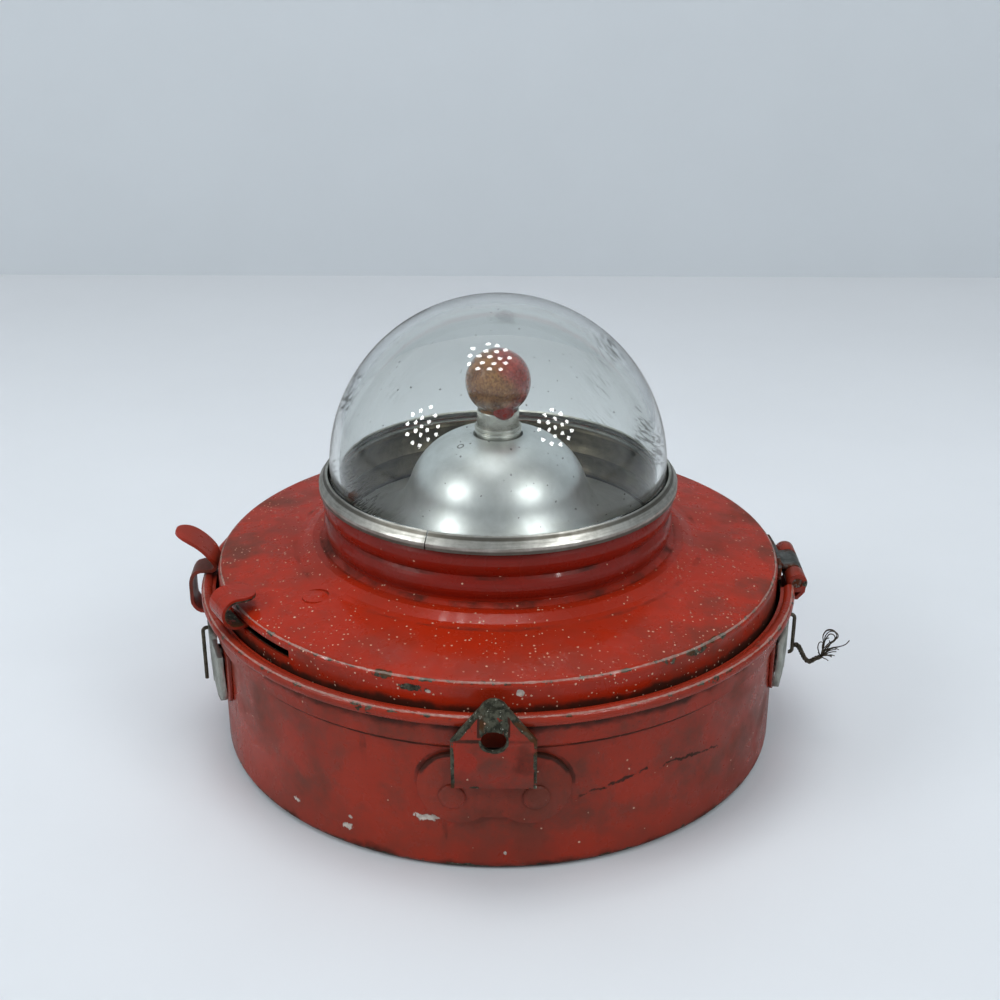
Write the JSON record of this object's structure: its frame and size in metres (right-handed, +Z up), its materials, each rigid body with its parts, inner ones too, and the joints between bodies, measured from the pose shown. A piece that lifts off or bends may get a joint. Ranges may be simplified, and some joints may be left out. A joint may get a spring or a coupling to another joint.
{
  "type": "battery warning lantern",
  "caption": "Round steel warning lantern: battery can, hinged lid with snap catch, glass dome over a bell reflector and lamp, slide switch, hasp and wire bail stubs.",
  "frame": {"origin": "centre of the can's flat underside, on the table", "axes": "+Z up through the dome, -Y towards the hasp (front), +X towards the hinge"},
  "size_m": [0.1631, 0.147, 0.1077],
  "materials": {
    "red_paint": "worn gloss enamel over steel sheet",
    "bare_steel": "dull, spotted with oxide",
    "zinc_plate": "dull zinc plating",
    "rusty_wire": "dark, lightly rusted",
    "brass_strip": "dull",
    "nickel": "nickel plate, worn",
    "bright_reflector": "polished, slightly hazed",
    "clear_glass": "clear, scuffed",
    "lamp_glass": "amber and red lacquer on glass",
    "lamp_stem": "glass stem and lead wires",
    "phenolic": "moulded phenolic",
    "fibre": "vulcanised fibre board",
    "cell_case": "printed jacket, left plain",
    "gasket_rubber": "aged rubber"
  },
  "bodies": {
    "can": {"can_shell": "red_paint", "cell_liner": "fibre", "cell_1": "cell_case", "cell_2": "cell_case", "cell_3": "cell_case", "cell_4": "cell_case", "cell_links": "brass_strip", "terminal_strip": "brass_strip", "ground_spring": "brass_strip", "hasp_base": "red_paint", "hasp_plate": "red_paint", "hasp_rivets": "red_paint", "catch_leg": "red_paint", "ear_leg": "red_paint", "ear_left": "zinc_plate", "ear_right": "zinc_plate", "ear_rivets": "zinc_plate", "hinge_leaf_can": "red_paint", "hinge_pin": "bare_steel"},
    "lid": {"lid_shell": "red_paint", "lid_rivets": "red_paint", "hinge_leaf_lid": "bare_steel", "lens_gasket": "gasket_rubber", "lens_dome": "clear_glass", "lens_ring": "bare_steel", "reflector": "bright_reflector", "bridge": "bare_steel", "post_rivets": "brass_strip", "socket_post": "phenolic", "lamp_socket": "nickel", "centre_contact": "brass_strip", "contact_leaf": "brass_strip", "switch_washer": "brass_strip", "switch_stud": "brass_strip"},
    "switch": {"switch_lever": "red_paint"},
    "bulb": {"bulb_glass": "lamp_glass", "bulb_cap": "nickel", "bulb_tip": "nickel", "bulb_stem": "lamp_stem"},
    "catch": {"snap_catch": "red_paint"},
    "hook_left": {"bail_hook_left": "rusty_wire"},
    "hook_right": {"bail_hook_right": "rusty_wire", "wire_stub": "rusty_wire"}
  },
  "joints": [
    {"name": "lid_hinge", "type": "hinge", "parent": "can", "child": "lid", "pos_m": [0.072, 0, 0.0403], "axis": [0, 1, 0], "range_deg": [0, 110]},
    {"name": "switch_turn", "type": "hinge", "parent": "lid", "child": "switch", "pos_m": [0, 0, 0.0432], "axis": [0, 0, 1], "range_deg": [0, 14]},
    {"name": "bulb_turn", "type": "hinge", "parent": "lid", "child": "bulb", "pos_m": [0, 0, 0.075], "axis": [0, 0, 1], "range_deg": [0, 360]},
    {"name": "catch_flex", "type": "hinge", "parent": "can", "child": "catch", "pos_m": [-0.06991, -0.00352, 0.0302], "axis": [0.0503, -0.9987, 0], "range_deg": [0, 8], "stiffness_Nm_per_rad": 0.4},
    {"name": "hook_left_swing", "type": "hinge", "parent": "can", "child": "hook_left", "pos_m": [-0.068, -0.0204, 0.0333], "axis": [-0.9578, -0.2874, 0], "range_deg": [-60, 60]},
    {"name": "hook_right_swing", "type": "hinge", "parent": "can", "child": "hook_right", "pos_m": [0.06996, -0.0121, 0.0333], "axis": [0.9854, -0.1705, 0], "range_deg": [-60, 60]}
  ]
}
